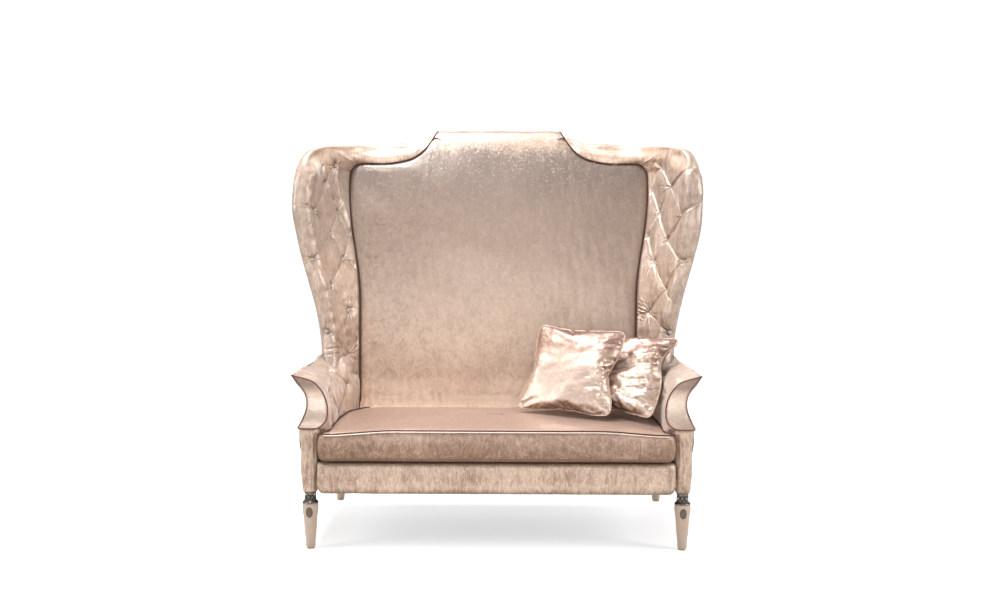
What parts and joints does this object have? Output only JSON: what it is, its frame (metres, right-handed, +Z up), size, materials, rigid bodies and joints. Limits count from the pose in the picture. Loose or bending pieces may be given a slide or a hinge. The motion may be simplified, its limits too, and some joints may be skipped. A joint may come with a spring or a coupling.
{
  "type": "sofa",
  "caption": "Tall wing-back loveseat in crushed velvet, with tufted wings, scooped arms, a raised back crest, a loose seat cushion and scatter cushions.",
  "frame": {"origin": "on the floor, under the middle of the seat's overall width and depth", "axes": "+X towards the right of someone facing the front of the seat, +Y from the front towards the back, +Z up"},
  "size_m": [1.5898, 0.8802, 1.5882],
  "materials": {
    "timber": "planed softwood",
    "board": "raw plywood",
    "steel": "zinc plated",
    "webbing": "woven elastic straps",
    "lining": "plain woven cloth over felt",
    "velvet": "crushed velvet with a strong sheen",
    "scatter_velvet": "crushed velvet with a strong sheen",
    "dark_piping": "brown velvet piping",
    "leg_cover": "smooth cream cover",
    "leg_wood": "light beige lacquer",
    "collar_metal": "dark silvery metal",
    "badge": "cream plate with a dark rim",
    "glide": "matt",
    "zip": "matt"
  },
  "bodies": {
    "frame": {"front_rail": "timber", "rear_seat_rail": "timber", "back_rail": "timber", "side_rail_right": "timber", "side_rail_left": "timber", "seat_stretchers": "timber", "corner_blocks": "timber", "front_post_right": "timber", "front_post_left": "timber", "back_mid_rails": "timber", "wing_spacers": "timber", "crest_rail": "timber", "arm_board_right": "board", "arm_board_left": "board", "wing_board_right": "board", "wing_board_left": "board", "back_rib_right": "board", "back_rib_left": "board", "back_rib_centre": "board", "leg_bolts": "steel", "frame_screws": "steel", "seat_webbing": "webbing", "back_webbing": "webbing", "deck_pad": "lining", "dust_cover": "lining", "back_pad": "velvet", "wing_pad_right": "velvet", "wing_pad_left": "velvet", "arm_pad_right": "velvet", "arm_pad_left": "velvet", "buttons": "velvet", "top_border_right": "velvet", "top_border_left": "velvet", "arm_facing_right": "velvet", "arm_facing_left": "velvet", "post_cover_right": "velvet", "post_cover_left": "velvet", "front_apron": "velvet", "outside_arm_right": "velvet", "outside_arm_left": "velvet", "outside_wing_right": "velvet", "outside_wing_left": "velvet", "outside_back": "velvet", "back_piping": "dark_piping", "facing_piping": "dark_piping", "front_leg_right": "leg_cover", "front_leg_left": "leg_cover", "rear_leg_right": "leg_wood", "rear_leg_left": "leg_wood", "leg_collar_right": "collar_metal", "leg_collar_left": "collar_metal", "leg_badges": "badge", "leg_glides": "glide"},
    "seat_cushion": {"seat_cushion": "velvet", "seat_cushion_piping": "dark_piping", "seat_cushion_zip": "zip"},
    "scatter_rear": {"scatter_cushion_rear": "scatter_velvet", "scatter_piping_rear": "scatter_velvet"},
    "scatter_front": {"scatter_cushion_front": "scatter_velvet", "scatter_piping_front": "scatter_velvet"}
  },
  "joints": [
    {"name": "seat_cushion_lift", "type": "slide", "parent": "frame", "child": "seat_cushion", "axis": [0, 0, 1], "range_m": [0, 0.3]},
    {"name": "scatter_rear_lift", "type": "slide", "parent": "seat_cushion", "child": "scatter_rear", "axis": [0, 0, 1], "range_m": [0, 0.25]},
    {"name": "scatter_front_lift", "type": "slide", "parent": "scatter_rear", "child": "scatter_front", "axis": [0, 0, 1], "range_m": [0, 0.25]}
  ]
}
